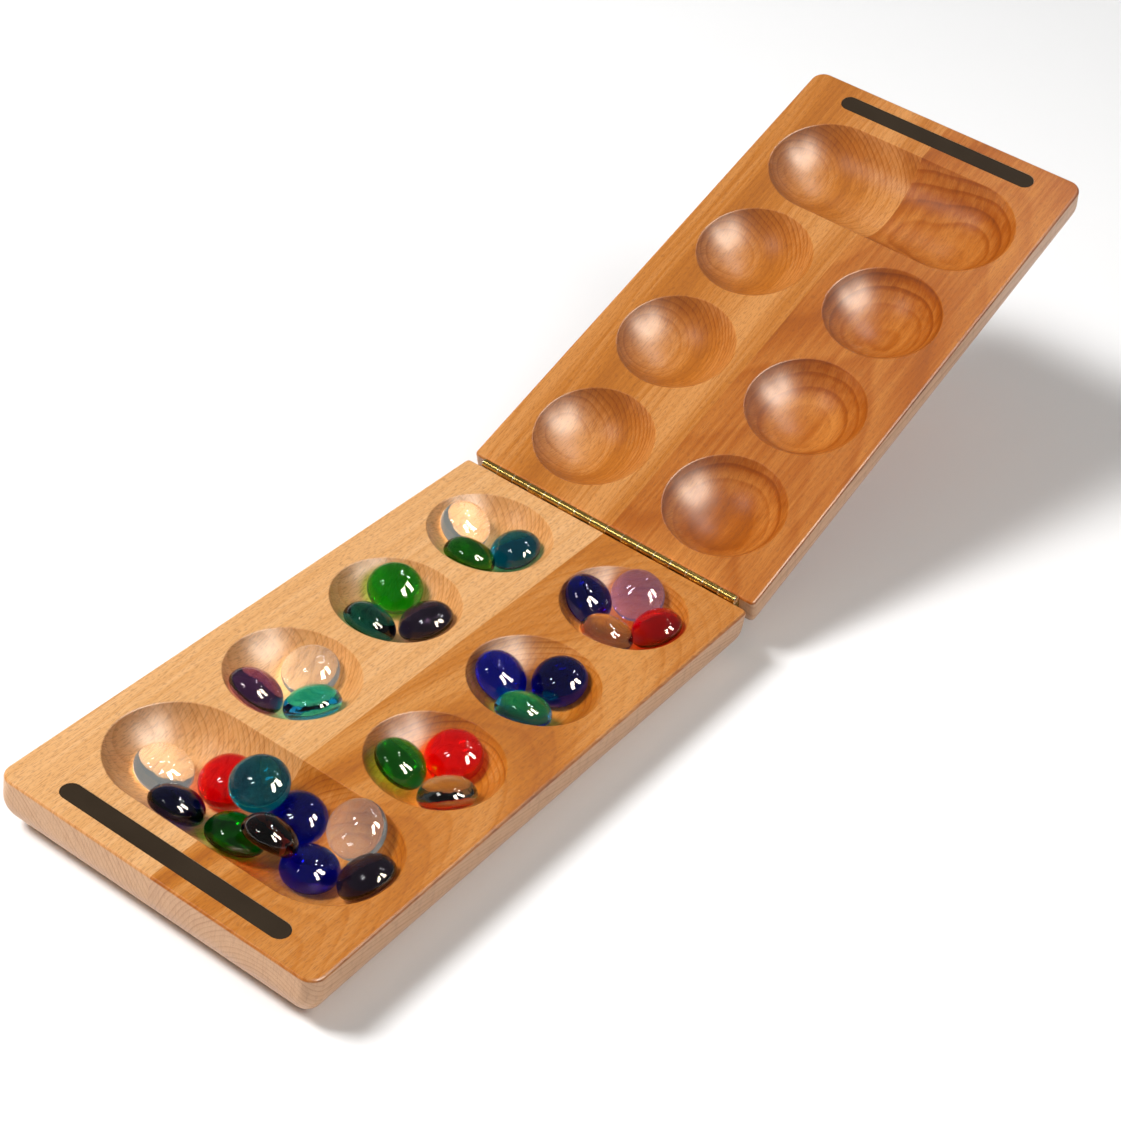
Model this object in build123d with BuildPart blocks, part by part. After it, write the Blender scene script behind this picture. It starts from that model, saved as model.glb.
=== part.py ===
from build123d import *
import math
import os

# A folding mancala board. The near half lies flat with its underside on the table, and the far
# half is swung up on a piano hinge. X runs along the board from the near half to the far half,
# Y runs along the hinge, and the origin is the middle of the near half's underside.

# ---- board halves ----
half_length = 217.4  # one half, from its outer end to its hinge end
board_width = 112.0
thickness = 18.0
underside_radius = 11.0  # large round on the lower edges
outer_corner_radius = 5.0
hinge_corner_radius = 1.6
play_edge_round = 1.0  # small round on the upper edges
rim_round = 0.5  # small round on the rims of the pits
edge_tolerance = 0.01  # an edge this close to the glue joint lies on it

# ---- pits and store, cut with one round-nosed cutter ----
cutter_radius = 25.4
pit_rim_radius = 20.8
pit_row_offset = 26.4  # middle of the board to the middle of a row
first_pit_distance = 28.1  # hinge end of a half to its first pit
pit_pitch = 49.6
pits_per_row = 3
store_rim_radius = 22.2
store_half_span = 25.7  # middle of the store to the middle of each round end
store_inset = 41.1  # outer end of a half to the middle of its store

# ---- magnet strips ----
strip_length = 80.0
strip_width = 6.7
strip_thickness = 2.4
strip_sunk = 0.1  # below the play face
strip_clearance = 0.1  # around the strip in its slot
strip_inset = 9.1  # outer end of a half to the middle of its strip

# ---- hinge ----
rest_fold_angle = 21.7  # the far half's tilt above flat
hinge_length = 101.0
knuckle_count = 16
knuckle_gap = 0.16
barrel_radius = 1.5
pin_radius = 0.8
pin_running_clearance = 0.04
leaf_thickness = 0.7
leaf_height = 6.4  # from the hinge axis down the end of the half
leaf_knuckle_clearance = 0.35
axis_above_face = 0.25  # keeps the two play faces apart when the board is shut
axis_to_end = 1.6  # hinge axis to the end face of each half

# ---- leaf screws ----
screws_per_leaf = 4
screw_pitch = 26.4
screw_drop = 4.1  # hinge axis down to the screws
screw_shank_radius = 0.8
screw_head_radius = 1.5
screw_head_height = 0.6
screw_head_sunk = 0.05  # below the surface of the leaf
screw_length = 9.0
screw_tip_length = 1.6
screw_tip_radius = 0.1
screw_slot_width = 0.5
screw_slot_depth = 0.3
screw_slot_turn = 30

# ---- glass stones ----
stone_radius = 9.0
stone_height = 9.0
stone_girth_height = 3.0  # where the stone is widest
stone_shoulder_radius = 4.0
stone_middle_height = 4.0
stone_clearance = 0.3  # between a stone and the wood under it
# Each stone has its colour, its place from the middle of its pit (away from the hinge, then to
# the right), and how far the stones under it lift it off the wood.
stones = {
    "a1": [("clear", -1.5, -10, 0), ("green", 11.4, 1, 0), ("teal", -3.5, 8, 0)],
    "a2": [("green", -8, -6, 0), ("teal", 11.4, -0.5, 0), ("smoke", -1.5, 10.5, 0)],
    "a3": [("purple", 10.7, -4.1, 0), ("clear", -8.5, 0, 0), ("aqua", 3.9, 10.8, 0)],
    "b1": [
        ("navy", 1.7, -11.4, 0),
        ("lilac", -11.3, -1.8, 0),
        ("clear", 11.3, 1.8, 0),
        ("red", -1.7, 11.4, 0),
    ],
    "b2": [("navy", -9, 3.5, 0), ("aqua", 10.6, 4.2, 0), ("blue", 2, -9.8, 0.1)],
    "b3": [("green", 6.5, -6.7, 2.3), ("red", -9, 0.5, 0), ("clear", 6.5, 9.5, 0)],
    "store": [
        ("clear_left", 1, -30.5, 0),
        ("navy", 12, -16, 0.1),
        ("red", -7, -14, 0),
        ("teal", -5, -2, 8.7),
        ("green", 7.5, 1.5, 0),
        ("blue_back", -8.3, 9.7, 0.2),
        ("dark_red", 8.6, 13.9, 7.3),
        ("blue_front", 2.3, 23.7, 0),
        ("clear_right", -12, 27.1, 2.3),
        ("smoke", -1.2, 39.2, 0),
    ],
}

os.makedirs("parts", exist_ok=True)

hinge_axis_height = thickness + axis_above_face
hinge_x = half_length / 2 + axis_to_end
fold = math.radians(rest_fold_angle)
far_out = Vector(math.cos(fold), 0, math.sin(fold))
far_up = Vector(-math.sin(fold), 0, math.cos(fold))

# Each half has a plane on the hinge axis. Its x runs away from the hinge into the half, and its z
# stands out of the play face. Its y is along the hinge: left, +Y, is -y on the near half.
hinge_centre = Vector(hinge_x, 0, hinge_axis_height)
hinge_planes = {
    "near": Plane(origin=hinge_centre, x_dir=(-1, 0, 0), z_dir=(0, 0, 1)),
    "far": Plane(origin=hinge_centre, x_dir=far_out, z_dir=far_up),
}
left_sign = {"near": -1, "far": 1}

pit_centre_height = math.sqrt(cutter_radius**2 - pit_rim_radius**2)
store_centre_height = math.sqrt(cutter_radius**2 - store_rim_radius**2)
pit_distances = [first_pit_distance + pit_pitch * i for i in range(pits_per_row)]
store_distance = half_length - store_inset
strip_distance = half_length - strip_inset
knuckle_pitch = hinge_length / knuckle_count
strip_slot_depth = strip_sunk + strip_thickness
stone_flat_radius = stone_radius - stone_girth_height
screw_places = [(i - (screws_per_leaf - 1) / 2) * screw_pitch for i in range(screws_per_leaf)]


def save(name, part):
    """Label one finished piece and write its file."""
    part.label = name
    export_step(part, f"parts/{name}.step")


def play_face(half):
    """The play face of a half, with its origin in the middle of its hinge end."""
    plane = hinge_planes[half]
    return Plane(
        origin=plane.from_local_coords((axis_to_end, 0, -axis_above_face)),
        x_dir=plane.x_dir,
        z_dir=plane.z_dir,
    )


def end_face(half):
    """The hinge end of a half: x along the hinge, y down from the play face, z out of the wood."""
    face = play_face(half)
    return Plane(origin=face.origin, x_dir=face.y_dir, z_dir=face.x_dir * -1)


def make_screws(half):
    """The countersunk screws of one leaf as plain bodies, before their driver slots are cut."""
    end = end_face(half)
    head_top = leaf_thickness - screw_head_sunk
    shank_top = head_top - screw_head_height
    shank_length = screw_length - screw_head_height - screw_tip_length
    drop = screw_drop - axis_above_face
    lowest = (Align.CENTER, Align.CENTER, Align.MAX)
    with BuildPart(end) as screws:
        with Locations(*[(place, drop, head_top) for place in screw_places]):
            Cone(screw_shank_radius, screw_head_radius, screw_head_height, align=lowest)
        with Locations(*[(place, drop, shank_top) for place in screw_places]):
            Cylinder(screw_shank_radius, shank_length, align=lowest)
        with Locations(*[(place, drop, shank_top - shank_length) for place in screw_places]):
            Cone(screw_tip_radius, screw_shank_radius, screw_tip_length, align=lowest)
    return screws.part


def slot_screws(half, blanks):
    """The same screws with the driver slots in their heads."""
    end = end_face(half)
    slot_floor = leaf_thickness - screw_head_sunk - screw_slot_depth
    with BuildPart() as screws:
        add(blanks)
        with BuildSketch(end.offset(slot_floor)):
            with Locations(*[(place, screw_drop - axis_above_face) for place in screw_places]):
                Rectangle(screw_slot_width, 2 * screw_head_radius, rotation=screw_slot_turn)
        extrude(amount=screw_slot_depth, mode=Mode.SUBTRACT)
    return screws.part


def inside_outline(point):
    """Whether a point of the play face is clear of the stave's own edges and of the glue joint."""
    margin = 2 * play_edge_round
    along = margin < point.X < half_length - margin
    return along and edge_tolerance < abs(point.Y) < board_width / 2 - margin


def make_stave(half, side, screws):
    """One of the two planks of a half; side is the sign of its y on the half's play face."""
    face = play_face(half)
    up = Axis(face.origin, face.z_dir)
    out = Axis(face.origin, face.x_dir)
    across = Axis(face.origin, face.y_dir * side)
    width = board_width / 2
    store_plane = Plane(
        origin=face.from_local_coords((store_distance, 0, store_centre_height)),
        x_dir=face.x_dir,
        z_dir=face.y_dir * side,
    )
    with BuildPart() as stave:
        with BuildSketch(face.offset(-thickness)):
            with Locations((half_length / 2, side * width / 2)):
                Rectangle(half_length, width)
        extrude(amount=thickness)

        # the large round under the three free edges, then the corners, then the upper edges
        under = stave.faces().sort_by(up)[0]
        glued = under.edges().sort_by(across)[0]
        fillet([e for e in under.edges() if e != glued], underside_radius)
        corners = stave.edges().filter_by(up).group_by(across)[-1].sort_by(out)
        fillet(corners[-1], outer_corner_radius)
        corners = stave.edges().filter_by(up).group_by(across)[-1].sort_by(out)
        fillet(corners[0], hinge_corner_radius)
        top = stave.faces().filter_by(GeomType.PLANE).sort_by(up)[-1]
        glued = top.edges().sort_by(across)[0]
        fillet([e for e in top.edges() if e != glued], play_edge_round)

        # a row of round pits, and this stave's half of the store
        pit_plane = face.offset(pit_centre_height)
        row_y = side * pit_row_offset
        with Locations(*[pit_plane.from_local_coords((d, row_y, 0)) for d in pit_distances]):
            Sphere(cutter_radius, mode=Mode.SUBTRACT)
        with BuildSketch(store_plane):
            Circle(cutter_radius)
        extrude(amount=store_half_span, mode=Mode.SUBTRACT)
        with Locations(store_plane.from_local_coords((0, 0, store_half_span))):
            Sphere(cutter_radius, mode=Mode.SUBTRACT)
        top = stave.faces().filter_by(GeomType.PLANE).sort_by(up)[-1]
        rims = [e for e in top.edges() if inside_outline(face.to_local_coords(e.center()))]
        fillet(rims, rim_round)

        with BuildSketch(face):
            with Locations((strip_distance, 0)):
                SlotOverall(strip_length + 2 * strip_clearance, strip_width + 2 * strip_clearance, 90)
        extrude(amount=-strip_slot_depth, mode=Mode.SUBTRACT)
        add(screws, mode=Mode.SUBTRACT)
    return stave.part


def make_leaf(half, screws):
    """One brass leaf, screwed to the end of its half, with every other knuckle of the barrel."""
    plane = hinge_planes[half]
    section = Plane(origin=plane.origin, x_dir=plane.x_dir, z_dir=(0, 1, 0))
    into_wood = -1 if section.y_dir.dot(plane.z_dir) > 0 else 1
    bore = pin_radius + (pin_running_clearance if half == "far" else 0)
    first_other = 1 if half == "near" else 0
    plate_middle = axis_to_end - leaf_thickness / 2
    with BuildPart() as leaf:
        with BuildSketch(section.offset(-hinge_length / 2)):
            Circle(barrel_radius)
            with Locations((plate_middle, into_wood * leaf_height / 2)):
                Rectangle(leaf_thickness, leaf_height)
            Circle(bore, mode=Mode.SUBTRACT)
        extrude(amount=hinge_length)
        for i in range(first_other, knuckle_count, 2):
            start = -hinge_length / 2 + knuckle_pitch * i - knuckle_gap / 2
            with BuildSketch(section.offset(start)):
                Circle(barrel_radius + leaf_knuckle_clearance)
            extrude(amount=knuckle_pitch + knuckle_gap, mode=Mode.SUBTRACT)
        add(screws, mode=Mode.SUBTRACT)
    return leaf.part


screw_blanks = {half: make_screws(half) for half in hinge_planes}
for half, blanks in screw_blanks.items():
    save(f"{half}_leaf_screws", slot_screws(half, blanks))
    save(f"{half}_hinge_leaf", make_leaf(half, blanks))
    for word, sign in (("left", 1), ("right", -1)):
        save(f"{half}_{word}_stave", make_stave(half, sign * left_sign[half], blanks))
    with BuildPart() as strip:
        with BuildSketch(play_face(half).offset(-strip_slot_depth)):
            with Locations((strip_distance, 0)):
                SlotOverall(strip_length, strip_width, 90)
        extrude(amount=strip_thickness)
    save(f"{half}_magnet_strip", strip.part)

with BuildPart() as hinge_pin:
    with BuildSketch(Plane(origin=hinge_centre - Vector(0, hinge_length / 2, 0), z_dir=(0, 1, 0))):
        Circle(pin_radius)
    extrude(amount=hinge_length)
save("hinge_pin", hinge_pin.part)


def stone_plane(place, x, y, lift):
    """Where a stone lies: its base faces the wood, squarely below the middle of the cutter."""
    face = play_face("near")
    if place == "store":
        centre = Vector(store_distance, max(-store_half_span, min(store_half_span, y)), store_centre_height)
        spot = Vector(store_distance + x, y, store_centre_height)
    else:
        row_y = pit_row_offset * (1 if place[0] == "b" else -1)
        centre = Vector(pit_distances[int(place[1]) - 1], row_y, pit_centre_height)
        spot = centre + Vector(x, y, 0)
    base_reach = math.sqrt((cutter_radius - stone_clearance) ** 2 - stone_flat_radius**2) - lift
    middle_reach = base_reach - stone_middle_height
    middle = spot - Vector(0, 0, math.sqrt(middle_reach**2 - (spot - centre).length ** 2))
    base = centre + (middle - centre) * (base_reach / middle_reach)
    seat = face.from_local_coords(base)
    return Plane(origin=seat, z_dir=face.from_local_coords(centre) - seat)


dome_depth = stone_height - stone_girth_height
crown_radius = ((stone_radius - stone_shoulder_radius) ** 2 + dome_depth**2 - stone_shoulder_radius**2) / (
    2 * (dome_depth - stone_shoulder_radius)
)
shoulder_turn = math.degrees(
    math.atan2(crown_radius - dome_depth, stone_radius - stone_shoulder_radius)
)
for place, row in stones.items():
    for colour, x, y, lift in row:
        seat = stone_plane(place, x, y, lift)
        with BuildPart() as stone:
            with BuildSketch(Plane(origin=seat.origin, x_dir=seat.x_dir, z_dir=seat.y_dir * -1)):
                with BuildLine():
                    belly = JernArc((stone_flat_radius, 0), (1, 0), stone_girth_height, 90)
                    shoulder = JernArc(belly @ 1, (0, 1), stone_shoulder_radius, shoulder_turn)
                    crown = TangentArc([shoulder @ 1, (0, stone_height)], tangent=shoulder % 1)
                    Polyline(crown @ 1, (0, 0), belly @ 0)
                make_face()
            revolve(axis=Axis(seat.origin, seat.z_dir))
        save(f"stone_{place}_{colour}", stone.part)
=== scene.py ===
import math
import random

import bmesh
import bpy
import numpy as np
from mathutils import Matrix, Vector


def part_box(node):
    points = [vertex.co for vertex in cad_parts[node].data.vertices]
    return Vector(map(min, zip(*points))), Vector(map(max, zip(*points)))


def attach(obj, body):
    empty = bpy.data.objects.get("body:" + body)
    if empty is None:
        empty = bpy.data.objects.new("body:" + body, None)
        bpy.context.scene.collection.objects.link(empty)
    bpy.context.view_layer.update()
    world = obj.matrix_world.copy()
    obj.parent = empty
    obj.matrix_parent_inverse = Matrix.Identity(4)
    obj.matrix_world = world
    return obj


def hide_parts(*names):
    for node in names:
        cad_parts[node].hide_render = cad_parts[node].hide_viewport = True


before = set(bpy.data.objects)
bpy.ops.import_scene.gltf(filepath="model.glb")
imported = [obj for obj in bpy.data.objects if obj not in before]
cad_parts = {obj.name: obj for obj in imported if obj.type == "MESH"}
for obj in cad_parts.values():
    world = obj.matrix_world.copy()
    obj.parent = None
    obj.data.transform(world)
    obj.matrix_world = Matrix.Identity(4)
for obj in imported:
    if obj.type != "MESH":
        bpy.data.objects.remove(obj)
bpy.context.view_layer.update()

# A folding mancala board: beech halves on a brass piano hinge, with glass stones. Metres.

RING = 0.0015  # width of one growth ring in most of the staves
FOLD = math.radians(21.7)  # the far half's tilt above flat
PIN = [Vector(corner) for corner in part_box("hinge_pin")]
HINGE = (PIN[0] + PIN[1]) / 2
KNUCKLES = 16
BARREL = 0.0016  # just outside the hinge barrel's radius

# The camera: direction and roll in degrees, lens and sensor in millimetres.
AIM = HINGE + Vector((-0.0129, 0.0079, -0.0104))
CAMERA_AZIMUTH = -152.26
CAMERA_ELEVATION = 36.75
CAMERA_ROLL = 11.65
CAMERA_DISTANCE = 0.7807
LENS = 76.44
SENSOR = 36

FLOOR_SIZE = 6
FLOOR_WHITE = (0.9, 0.9, 0.9)
WORLD_STRENGTH = 0.16


def direction(azimuth, elevation):
    """The unit vector toward an azimuth, anticlockwise from +X, and an elevation, in degrees."""
    turn, rise = math.radians(azimuth), math.radians(elevation)
    flat = math.cos(rise)
    return Vector((math.cos(turn) * flat, math.sin(turn) * flat, math.sin(rise)))


def make_camera():
    """The camera, aimed just short of the middle of the hinge and a little below it."""
    back = direction(CAMERA_AZIMUTH, CAMERA_ELEVATION)
    camera = bpy.data.objects.new("camera", bpy.data.cameras.new("camera"))
    bpy.context.collection.objects.link(camera)
    camera.data.sensor_width = SENSOR
    camera.data.lens = LENS
    camera.location = AIM + back * CAMERA_DISTANCE
    roll = Matrix.Rotation(math.radians(CAMERA_ROLL), 3, "Z")
    turn = (-back).to_track_quat("-Z", "Y").to_matrix() @ roll
    camera.rotation_euler = turn.to_euler()
    bpy.context.scene.camera = camera


# ---- shader helpers ----
class Nodes:
    """Short calls that add and link nodes in one material."""

    def __init__(self, name):
        self.material = bpy.data.materials.new(name)
        self.material.use_nodes = True
        self.tree = self.material.node_tree
        self.shader = self.tree.nodes["Principled BSDF"]

    def add(self, kind, **settings):
        node = self.tree.nodes.new(kind)
        for key, value in settings.items():
            setattr(node, key, value)
        return node

    def put(self, value, socket):
        if isinstance(value, bpy.types.NodeSocket):
            self.tree.links.new(value, socket)
        else:
            socket.default_value = value

    def math(self, operation, a, b=0.0, c=0.0, clamp=False):
        node = self.add("ShaderNodeMath", operation=operation, use_clamp=clamp)
        for value, socket in zip((a, b, c), node.inputs):
            self.put(value, socket)
        return node.outputs[0]

    def place(self, fold, origin):
        """Object coordinates from `origin`, turned by `fold` into a half's own frame.

        x runs along the board and z points out of the play face.
        """
        coords = self.add("ShaderNodeTexCoord").outputs["Object"]
        moved = self.add("ShaderNodeVectorMath", operation="SUBTRACT")
        self.put(coords, moved.inputs[0])
        self.put(origin, moved.inputs[1])
        turned = self.add("ShaderNodeVectorRotate", rotation_type="Y_AXIS")
        self.put(moved.outputs[0], turned.inputs["Vector"])
        self.put(fold, turned.inputs["Angle"])
        return turned.outputs[0]

    def scaled(self, vector, scale):
        node = self.add("ShaderNodeVectorMath", operation="MULTIPLY")
        self.put(vector, node.inputs[0])
        self.put(scale, node.inputs[1])
        return node.outputs[0]

    def noise(self, vector, scale=1.0, detail=2.0, rough=0.5):
        node = self.add("ShaderNodeTexNoise")
        self.put(vector, node.inputs["Vector"])
        self.put(scale, node.inputs["Scale"])
        self.put(detail, node.inputs["Detail"])
        self.put(rough, node.inputs["Roughness"])
        return node.outputs["Fac"]

    def ramp(self, value, *stops):
        """A colour ramp with (position, colour) stops; a bare number makes a grey."""
        node = self.add("ShaderNodeValToRGB")
        self.put(value, node.inputs[0])
        elements = node.color_ramp.elements
        while len(elements) < len(stops):
            elements.new(0.5)
        for element, (position, color) in zip(elements, stops):
            element.position = position
            element.color = (color,) * 3 + (1,) if isinstance(color, float) else (*color, 1)
        return node.outputs[0]

    def mix(self, factor, a, b, blend="MIX"):
        node = self.add("ShaderNodeMix", data_type="RGBA", blend_type=blend)
        self.put(factor, node.inputs[0])
        self.put(a if isinstance(a, bpy.types.NodeSocket) else (*a, 1), node.inputs[6])
        self.put(b if isinstance(b, bpy.types.NodeSocket) else (*b, 1), node.inputs[7])
        return node.outputs[2]

    def bump(self, height, strength, distance):
        node = self.add("ShaderNodeBump")
        self.put(strength, node.inputs["Strength"])
        self.put(distance, node.inputs["Distance"])
        self.put(height, node.inputs["Height"])
        return node.outputs[0]


# ---- wood ----
RAW_PALE = (0.68, 0.43, 0.26)  # unstained wood on the edges
RAW_DARK = (0.42, 0.20, 0.085)
# Painted shade: multiplied into the pits to darken their walls
PIT_SHADE = (0.90, 0.78, 0.66)
FLECK = (0.15, 0.038, 0.008)
PORE = (0.17, 0.055, 0.012)


def beech(name, fold, pith, lean, tones, banding, seed, ring=RING):
    """Varnished beech, cut from a log whose pith runs beside or below the stave.

    fold: the half's tilt. pith: its place across the board and below the play face, in metres.
    lean: how far the pith drifts across and down over each metre of length. tones: the face's
    light, middle and dark colours. banding: how far runs of light and dark years part.
    seed: shifts the rings. ring: the width of one growth ring.
    """
    n = Nodes(name)
    place = n.place(fold, tuple(HINGE))
    split = n.add("ShaderNodeSeparateXYZ")
    n.put(place, split.inputs[0])
    along, across, depth = split.outputs
    # How each spot faces: 1 on the play face, less in the pits, 0 on the edges, -1 underneath.
    geometry = n.add("ShaderNodeNewGeometry")
    to_object = n.add("ShaderNodeVectorTransform", vector_type="NORMAL")
    to_object.convert_from = "WORLD"
    to_object.convert_to = "OBJECT"
    n.put(geometry.outputs["Normal"], to_object.inputs[0])
    normal = n.add("ShaderNodeVectorRotate", rotation_type="Y_AXIS")
    n.put(to_object.outputs[0], normal.inputs["Vector"])
    n.put(fold, normal.inputs["Angle"])
    facing = n.add("ShaderNodeSeparateXYZ")
    n.put(normal.outputs[0], facing.inputs[0])
    level = facing.outputs[2]
    underneath = n.ramp(n.math("MULTIPLY", level, -1.0), (0.86, 0.0), (0.98, 1.0))
    edge = n.math("SUBTRACT", n.ramp(level, (0.05, 1.0), (0.38, 0.0)), underneath)
    hollow = n.ramp(n.math("ABSOLUTE", level), (0.74, 1.0), (0.995, 0.0))
    # Growth rings: the distance from the pith, waved by slow noise.
    wander = n.noise(n.scaled(place, (6.0, 24.0, 24.0)), 1.0, 2.0, 0.5)
    wobble = n.noise(n.scaled(place, (14.0, 60.0, 60.0)), 1.0, 1.0, 0.5)
    side = n.math("SUBTRACT", across, pith[0])
    side = n.math("SUBTRACT", side, n.math("MULTIPLY", along, lean[0]))
    down = n.math("ADD", n.math("ADD", depth, pith[1]), n.math("MULTIPLY", along, lean[1]))
    square = n.math("ADD", n.math("MULTIPLY", side, side), n.math("MULTIPLY", down, down))
    radius = n.math("SQRT", square)
    radius = n.math("MULTIPLY_ADD", n.math("SUBTRACT", wander, 0.5), 0.010, radius)
    radius = n.math("MULTIPLY_ADD", n.math("SUBTRACT", wobble, 0.5), 0.0006, radius)
    count = n.math("MULTIPLY_ADD", radius, 1 / ring, seed)
    rings = n.math("FRACT", count)
    years = n.add("ShaderNodeTexNoise", noise_dimensions="1D")
    n.put(n.math("FLOOR", count), years.inputs["W"])
    n.put(2.7, years.inputs["Scale"])
    late = n.ramp(rings, (0.0, 0.0), (0.58, 0.18), (0.88, 1.0), (1.0, 0.0))
    late = n.math("MULTIPLY", late, n.ramp(years.outputs[0], (0.3, 0.3), (0.7, 1.0)))
    late = n.math("MULTIPLY", late, n.math("MULTIPLY_ADD", hollow, 0.8, 0.5))
    # Runs of light and dark years make the broad figure of the face.
    figure = n.add("ShaderNodeTexNoise", noise_dimensions="1D")
    n.put(n.math("MULTIPLY_ADD", radius, 1 / 0.011, seed * 9.1), figure.inputs["W"])
    n.put(1.0, figure.inputs["Scale"])
    n.put(1.0, figure.inputs["Detail"])
    # Slow changes of tone, fine pores along the grain and short dark ray flecks.
    cloud = n.noise(n.scaled(place, (4.0, 30.0, 30.0)), 1.0, 3.0, 0.6)
    streak = n.noise(n.scaled(place, (14.0, 520.0, 260.0)), 1.0, 4.0, 0.7)
    pores = n.noise(n.scaled(place, (190.0, 3600.0, 3600.0)), 1.0, 2.0, 0.6)
    flecks = n.noise(n.scaled(place, (480.0, 3000.0, 200.0)), 1.0, 1.0, 0.5)
    fleck = n.ramp(flecks, (0.52, 0.0), (0.66, 1.0))
    tone = n.math("MULTIPLY", late, 0.46)
    tone = n.math("MULTIPLY_ADD", n.math("SUBTRACT", cloud, 0.5), 0.35, tone)
    tone = n.math("MULTIPLY_ADD", n.math("SUBTRACT", streak, 0.5), 0.9, tone)
    tone = n.math("MULTIPLY_ADD", n.math("SUBTRACT", figure.outputs[0], 0.5), banding, tone)
    tone = n.math("ADD", tone, 0.26, clamp=True)
    color = n.ramp(tone, (0.0, tones[0]), (0.42, tones[1]), (1.0, tones[2]))
    # Painted shade darkens the walls of the pits. Edges drink less stain: paler.
    color = n.mix(n.math("MULTIPLY", hollow, 0.9), color, PIT_SHADE, "MULTIPLY")
    raw = n.math("MULTIPLY_ADD", late, 0.5, n.math("MULTIPLY", streak, 0.4))
    raw = n.mix(raw, RAW_PALE, RAW_DARK)
    color = n.mix(n.math("MULTIPLY", edge, 0.85), color, raw)
    fleck_share = n.math("MULTIPLY", fleck, n.math("MULTIPLY_ADD", edge, -0.18, 0.32))
    color = n.mix(fleck_share, color, FLECK)
    color = n.mix(n.ramp(pores, (0.58, 0.0), (0.72, 0.35)), color, PORE)
    n.put(color, n.shader.inputs["Base Color"])
    dull = n.math("ADD", n.math("MULTIPLY", pores, 0.6), n.math("MULTIPLY", cloud, 0.4))
    n.put(n.ramp(dull, (0.3, 0.33), (0.7, 0.42)), n.shader.inputs["Roughness"])
    n.put(0.42, n.shader.inputs["Specular IOR Level"])
    sunk = n.math("ADD", n.math("MULTIPLY", fleck, 0.4), pores)
    height = n.math("SUBTRACT", n.math("MULTIPLY", streak, 0.3), sunk)
    n.put(n.bump(height, 0.25, 0.00008), n.shader.inputs["Normal"])
    return n.material


HONEY = [(0.77, 0.44, 0.20), (0.66, 0.33, 0.115), (0.47, 0.19, 0.045)]
AMBER = [(0.60, 0.255, 0.06), (0.47, 0.152, 0.013), (0.29, 0.070, 0.004)]
STREAKED = [(0.58, 0.25, 0.068), (0.44, 0.146, 0.017), (0.28, 0.074, 0.005)]
FLAMED = [(0.54, 0.20, 0.036), (0.36, 0.092, 0.005), (0.19, 0.040, 0.002)]

make_camera()

woods = {
    "near_left_stave": beech(
        "beech near left", 0.0, (0.10, 0.075), (0.02, 0.03), HONEY, banding=0.5, seed=0.1),
    "near_right_stave": beech(
        "beech near right", 0.0, (-0.034, 0.060), (0.03, 0.16), AMBER, banding=1.5, seed=0.4),
    "far_left_stave": beech(
        "beech far left", FOLD, (0.085, 0.085), (-0.02, 0.04), STREAKED, banding=1.1, seed=0.7),
    "far_right_stave": beech(
        "beech far right", FOLD, (-0.022, 0.070), (-0.05, 0.12), FLAMED,
        banding=1.3, seed=0.2, ring=0.0042),
}


# ---- glass stones ----
STONE = {"flat": 0.006, "radius": 0.009, "girth": 0.003, "height": 0.009}


def glass(name, through, frosting):
    """Coloured glass; `through` is the colour of white light after a stone's full height.

    The flat base is a little frosted, as it cooled on a mould, and scatters the share
    `frosting` of the light back up through the colour.
    """
    n = Nodes(name)
    n.put((*[c ** 0.12 for c in through], 1), n.shader.inputs["Base Color"])
    n.put(1.5, n.shader.inputs["IOR"])
    frost = n.add("ShaderNodeAttribute", attribute_name="frost").outputs["Fac"]
    n.put(n.math("MULTIPLY_ADD", frost, -frosting, 1.0), n.shader.inputs["Transmission Weight"])
    n.put(0.01, n.shader.inputs["Roughness"])
    loss = [-math.log(c) / STONE["height"] for c in through]
    volume = n.add("ShaderNodeVolumeAbsorption")
    volume.inputs["Density"].default_value = max(loss)
    volume.inputs["Color"].default_value = (*[1 - one / max(loss) for one in loss], 1)
    output = n.tree.nodes["Material Output"]
    n.tree.links.new(volume.outputs[0], output.inputs["Volume"])
    # Light from the lamps reaches what lies under the glass.
    passing = n.add("ShaderNodeBsdfTransparent")
    passing.inputs["Color"].default_value = (0.55, 0.55, 0.55, 1)
    either = n.add("ShaderNodeMixShader")
    n.put(n.add("ShaderNodeLightPath").outputs["Is Shadow Ray"], either.inputs[0])
    n.tree.links.new(n.shader.outputs[0], either.inputs[1])
    n.tree.links.new(passing.outputs[0], either.inputs[2])
    n.tree.links.new(either.outputs[0], output.inputs["Surface"])
    ripples = n.noise(n.add("ShaderNodeTexCoord").outputs["Object"], 420.0, 1.0, 0.4)
    n.put(n.bump(ripples, 0.14, 0.0004), n.shader.inputs["Normal"])
    return n.material


GLASSES = {
    "clear": glass("clear glass", (0.82, 0.86, 0.87), 0.10),
    "green": glass("green glass", (0.05, 0.42, 0.03), 0.14),
    "teal": glass("teal glass", (0.015, 0.36, 0.44), 0.16),
    "aqua": glass("aqua glass", (0.16, 0.84, 0.94), 0.60),
    "smoke": glass("smoke glass", (0.26, 0.21, 0.30), 0.20),
    "purple": glass("purple glass", (0.42, 0.27, 0.46), 0.18),
    "lilac": glass("lilac glass", (0.54, 0.43, 0.60), 0.18),
    "navy": glass("navy glass", (0.012, 0.020, 0.32), 0.20),
    "blue": glass("blue glass", (0.012, 0.035, 0.52), 0.22),
    "red": glass("red glass", (0.78, 0.010, 0.018), 0.22),
    "dark_red": glass("dark red glass", (0.36, 0.006, 0.010), 0.14),
}


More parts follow.
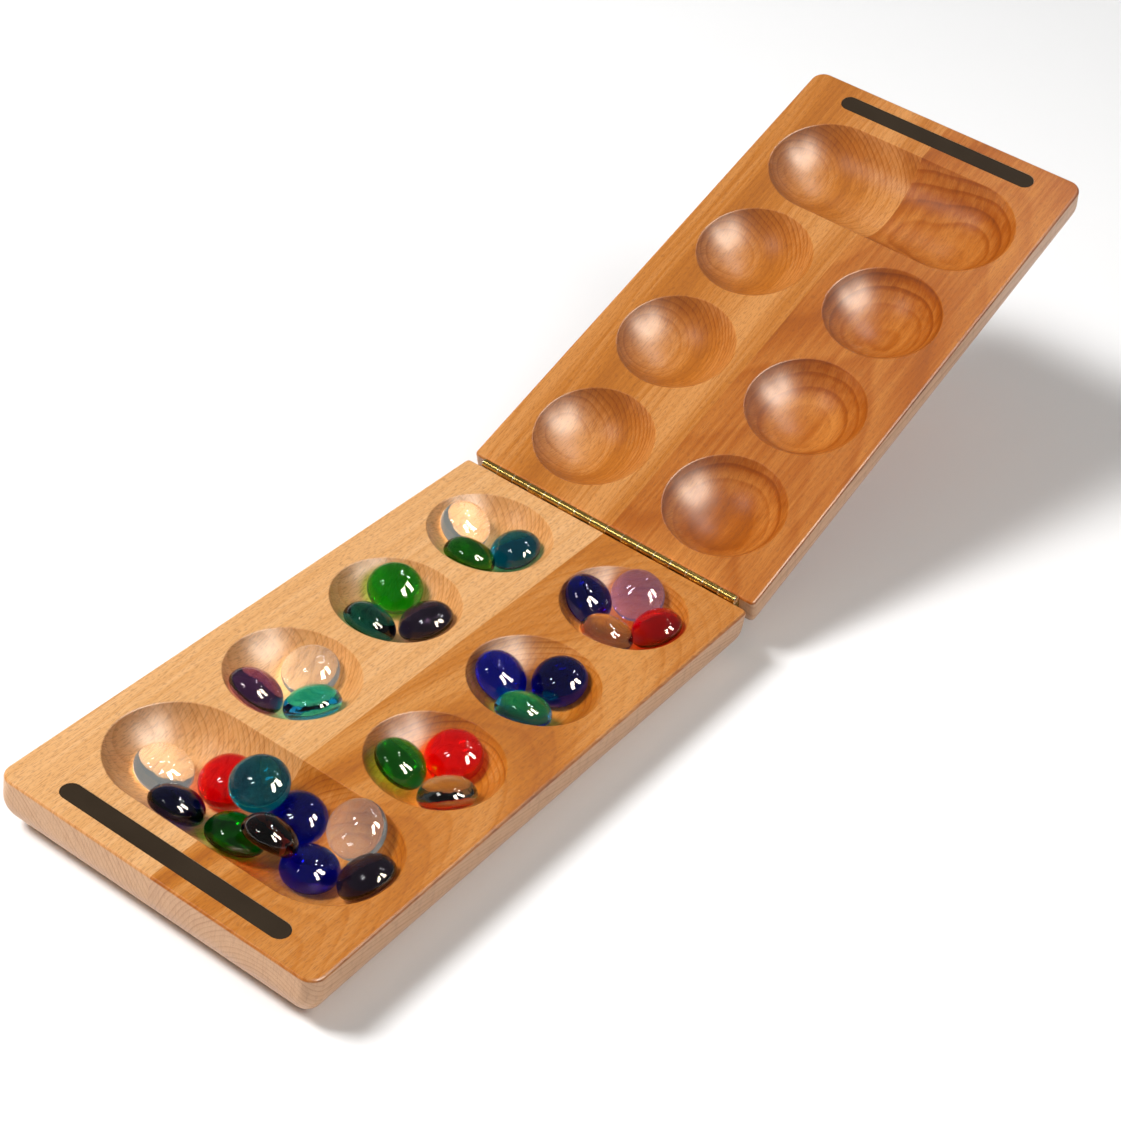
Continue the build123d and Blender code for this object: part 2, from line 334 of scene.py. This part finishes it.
def stone_seat(node):
    """The middle of a CAD stone's flat base, and the direction from there to its crown."""
    faces = node.data.polygons
    area = np.empty(len(faces))
    middle = np.empty(len(faces) * 3)
    normal = np.empty(len(faces) * 3)
    faces.foreach_get("area", area)
    faces.foreach_get("center", middle)
    faces.foreach_get("normal", normal)
    middle = middle.reshape(-1, 3)
    normal = normal.reshape(-1, 3)
    centre = (middle * area[:, None]).sum(0) / area.sum()
    spread = (middle - centre).T @ ((middle - centre) * area[:, None])
    axis = np.linalg.eigh(spread)[1][:, 0]
    flat_up = area[normal @ axis > 0.9998].sum()
    flat_down = area[normal @ axis < -0.9998].sum()
    crown = axis if flat_down > flat_up else -axis
    base = centre + crown * ((middle - centre) @ crown).min()
    return Vector(base), Vector(crown)


def stone_outline():
    """Radius and height around half of a stone's section, from its flat base to its crown."""
    flat, radius, girth, height = (STONE[key] for key in ("flat", "radius", "girth", "height"))
    points = [(flat * k / 5, 0.0) for k in range(1, 5)]
    for k in range(7):
        turn = math.pi / 2 * k / 6
        points.append((flat + (radius - flat) * math.sin(turn), girth - girth * math.cos(turn)))
    for k in range(1, 12):
        turn = math.pi / 2 * k / 12
        rise = (height - girth) * math.sin(turn) ** 1.12
        points.append((radius * math.cos(turn) ** 0.86, girth + rise))
    return points


def make_stone(name, node, material, seed):
    """A glass stone in the place of its CAD node: never quite round, its crown a little tipped."""
    chance = random.Random(seed)
    base, crown = stone_seat(node)
    across = crown.orthogonal().normalized()
    turn = Matrix.Rotation(chance.uniform(0, math.tau), 3, crown)
    across = turn @ across
    other = crown.cross(across)
    oval = chance.uniform(0.0, 0.055)
    lobe = chance.uniform(0.0, 0.018)
    phase = chance.uniform(0, math.tau)
    low = chance.uniform(0.0, 0.06)
    lift = 0.00002  # the glass starts this far above the CAD stone's base
    mesh = bmesh.new()
    steps = 48
    rings = []
    for radius, height in stone_outline():
        ring = []
        for i in range(steps):
            angle = math.tau * i / steps
            lobes = lobe * (0.5 + 0.5 * math.cos(3 * angle + phase))
            shrink = 1 - oval * math.sin(angle) ** 2 - lobes
            reach = radius * shrink * 0.995
            dip = low * (0.5 + 0.5 * math.cos(angle + phase)) * min(1, height / 0.006)
            rise = height * (1 - dip) + lift
            point = base + across * reach * math.cos(angle) + other * reach * math.sin(angle)
            ring.append(mesh.verts.new(point + crown * rise))
        rings.append(ring)
    bottom = mesh.verts.new(base + crown * lift)
    top = mesh.verts.new(base + crown * STONE["height"] * (1 - low / 2))
    for i in range(steps):
        j = (i + 1) % steps
        mesh.faces.new((bottom, rings[0][j], rings[0][i]))
        mesh.faces.new((top, rings[-1][i], rings[-1][j]))
        for inner, outer in zip(rings, rings[1:]):
            mesh.faces.new((inner[i], inner[j], outer[j], outer[i]))
    bmesh.ops.recalc_face_normals(mesh, faces=mesh.faces)
    data = bpy.data.meshes.new(name)
    mesh.to_mesh(data)
    mesh.free()
    for face in data.polygons:
        face.use_smooth = True
    frost = data.attributes.new("frost", "FLOAT", "POINT")
    for vertex, value in zip(data.vertices, frost.data):
        rise = (vertex.co - base).dot(crown)
        value.value = 1.0 if rise < 0.0002 else 0.0
    data.materials.append(material)
    stone = bpy.data.objects.new(name, data)
    bpy.context.collection.objects.link(stone)
    return stone


def glass_of(node_name):
    """A stone node is named stone_PIT_COLOUR, with a word after it where a colour comes twice."""
    words = node_name.split("_", 2)[2]
    for key in ("dark_red", *GLASSES):
        if words.startswith(key):
            return key


stone_nodes = sorted(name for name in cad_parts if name.startswith("stone_"))
for seed, name in enumerate(stone_nodes):
    color = glass_of(name)
    stone = make_stone("glass_" + name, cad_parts[name], GLASSES[color], seed)
    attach(stone, name.split("_")[1] + "_stones")
    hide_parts(name)


# ---- magnet strips, hinge and screws ----
def magnet():
    """Matt black-brown magnetic strip, with the fine tooth of pressed rubber."""
    n = Nodes("magnet")
    coords = n.add("ShaderNodeTexCoord").outputs["Object"]
    grain = n.noise(coords, 2600.0, 2.0, 0.6)
    wear = n.noise(coords, 60.0, 3.0, 0.6)
    n.put(n.mix(wear, (0.020, 0.012, 0.006), (0.034, 0.022, 0.012)), n.shader.inputs["Base Color"])
    n.put(n.ramp(wear, (0.3, 0.55), (0.7, 0.75)), n.shader.inputs["Roughness"])
    n.put(0.1, n.shader.inputs["Specular IOR Level"])
    n.put(n.bump(grain, 0.4, 0.0001), n.shader.inputs["Normal"])
    return n.material


def metal(name, bright, dull, rough, seams=0.0):
    """Plated metal with drawn marks along the hinge, duller where it has tarnished.

    seams: the pitch of the knuckles, or 0 for metal without any.
    """
    n = Nodes(name)
    coords = n.add("ShaderNodeTexCoord").outputs["Object"]
    tarnish = n.noise(coords, 240.0, 4.0, 0.65)
    drawn = n.noise(n.scaled(coords, (4200.0, 130.0, 4200.0)), 1.0, 2.0, 0.6)
    color = n.mix(n.ramp(tarnish, (0.40, 0.0), (0.70, 1.0)), bright, dull)
    if seams:
        # Painted highlight: a narrow pale band at every barrel seam, where knuckle rims catch
        # light.
        split = n.add("ShaderNodeSeparateXYZ")
        n.put(n.place(0.0, tuple(HINGE)), split.inputs[0])
        out, along, up = split.outputs
        step = n.math("FRACT", n.math("MULTIPLY_ADD", along, 1 / seams, 0.5))
        seam_highlight = n.ramp(n.math("ABSOLUTE", n.math("SUBTRACT", step, 0.5)), (0.030, 1.0), (0.045, 0.0))
        reach = n.math("SQRT", n.math("MULTIPLY_ADD", out, out, n.math("MULTIPLY", up, up)))
        seam_highlight = n.math("MULTIPLY", seam_highlight, n.math("LESS_THAN", reach, BARREL))
        color = n.mix(seam_highlight, color, (1.0, 0.86, 0.55))
    n.put(color, n.shader.inputs["Base Color"])
    n.put(1.0, n.shader.inputs["Metallic"])
    worn = n.math("ADD", n.math("MULTIPLY", tarnish, 0.6), n.math("MULTIPLY", drawn, 0.4))
    n.put(n.ramp(worn, (0.3, rough), (0.7, rough + 0.16)), n.shader.inputs["Roughness"])
    n.put(n.bump(drawn, 0.2, 0.00003), n.shader.inputs["Normal"])
    return n.material


MAGNET = magnet()
PITCH = (PIN[1].y - PIN[0].y) / KNUCKLES
BRASS = metal("brass", (0.66, 0.45, 0.13), (0.34, 0.20, 0.05), 0.18, PITCH)
STEEL = metal("screw steel", (0.62, 0.60, 0.56), (0.40, 0.38, 0.35), 0.28)
for name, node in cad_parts.items():
    if name in woods:
        material = woods[name]
    elif name.endswith("_strip"):
        material = MAGNET
    elif name.endswith("_screws"):
        material = STEEL
    elif "hinge" in name:
        material = BRASS
    else:
        continue
    node.data.materials.clear()
    node.data.materials.append(material)

# ---- floor and light ----
bpy.ops.mesh.primitive_plane_add(size=FLOOR_SIZE, location=(0, 0, 0))
floor = bpy.context.object
floor.name = "floor"
paper = Nodes("paper")
paper.put((*FLOOR_WHITE, 1), paper.shader.inputs["Base Color"])
paper.put(0.8, paper.shader.inputs["Roughness"])
floor.data.materials.append(paper.material)

world = bpy.data.worlds.new("studio")
bpy.context.scene.world = world
world.use_nodes = True
world.node_tree.nodes["Background"].inputs[0].default_value = (1, 1, 1, 1)
world.node_tree.nodes["Background"].inputs[1].default_value = WORLD_STRENGTH
bpy.context.scene.view_settings.view_transform = "Standard"


def softbox(name, azimuth, elevation, distance, size, power,
            diffuse=True, glossy=True, inside=False, tint=(1, 1, 1)):
    """An area light aimed at the hinge from the given direction, in degrees.

    diffuse, glossy, inside: whether it lights surfaces, shows in gloss, and shows through glass.
    """
    light = bpy.data.objects.new(name, bpy.data.lights.new(name, "AREA"))
    bpy.context.collection.objects.link(light)
    light.data.energy = power
    light.data.color = tint
    light.data.shape = "RECTANGLE"
    light.data.size, light.data.size_y = size
    out = direction(azimuth, elevation)
    light.location = HINGE + out * distance
    light.rotation_euler = (-out).to_track_quat("-Z", "Y").to_euler()
    light.visible_diffuse = diffuse
    light.visible_glossy = glossy
    light.visible_transmission = inside


softbox("key", 124, 48, 2.2, (0.7, 0.7), 60, glossy=False)
softbox("side", -72, 50, 1.3, (0.9, 0.7), 5, glossy=False)
# The windows put the sheen on the walls of the pits, and the lamps the sparkle on glass and brass.
for i, (azimuth, elevation) in enumerate(((-72, 40), (-107, 38), (-74, 56), (-106, 54))):
    softbox(f"window {i}", azimuth, elevation, 1.3, (0.26, 0.36), 15,
            diffuse=False, tint=(1.0, 0.86, 0.70))
for i, (azimuth, elevation) in enumerate(((-32, 58), (-12, 68), (8, 58))):
    softbox(f"lamp {i}", azimuth, elevation, 1.3, (0.03, 0.11), 1.5, diffuse=False, inside=True)
for i, azimuth in enumerate((136, 154)):
    softbox(f"back lamp {i}", azimuth, 50, 1.3, (0.07, 0.18), 1.4, diffuse=False, inside=True)
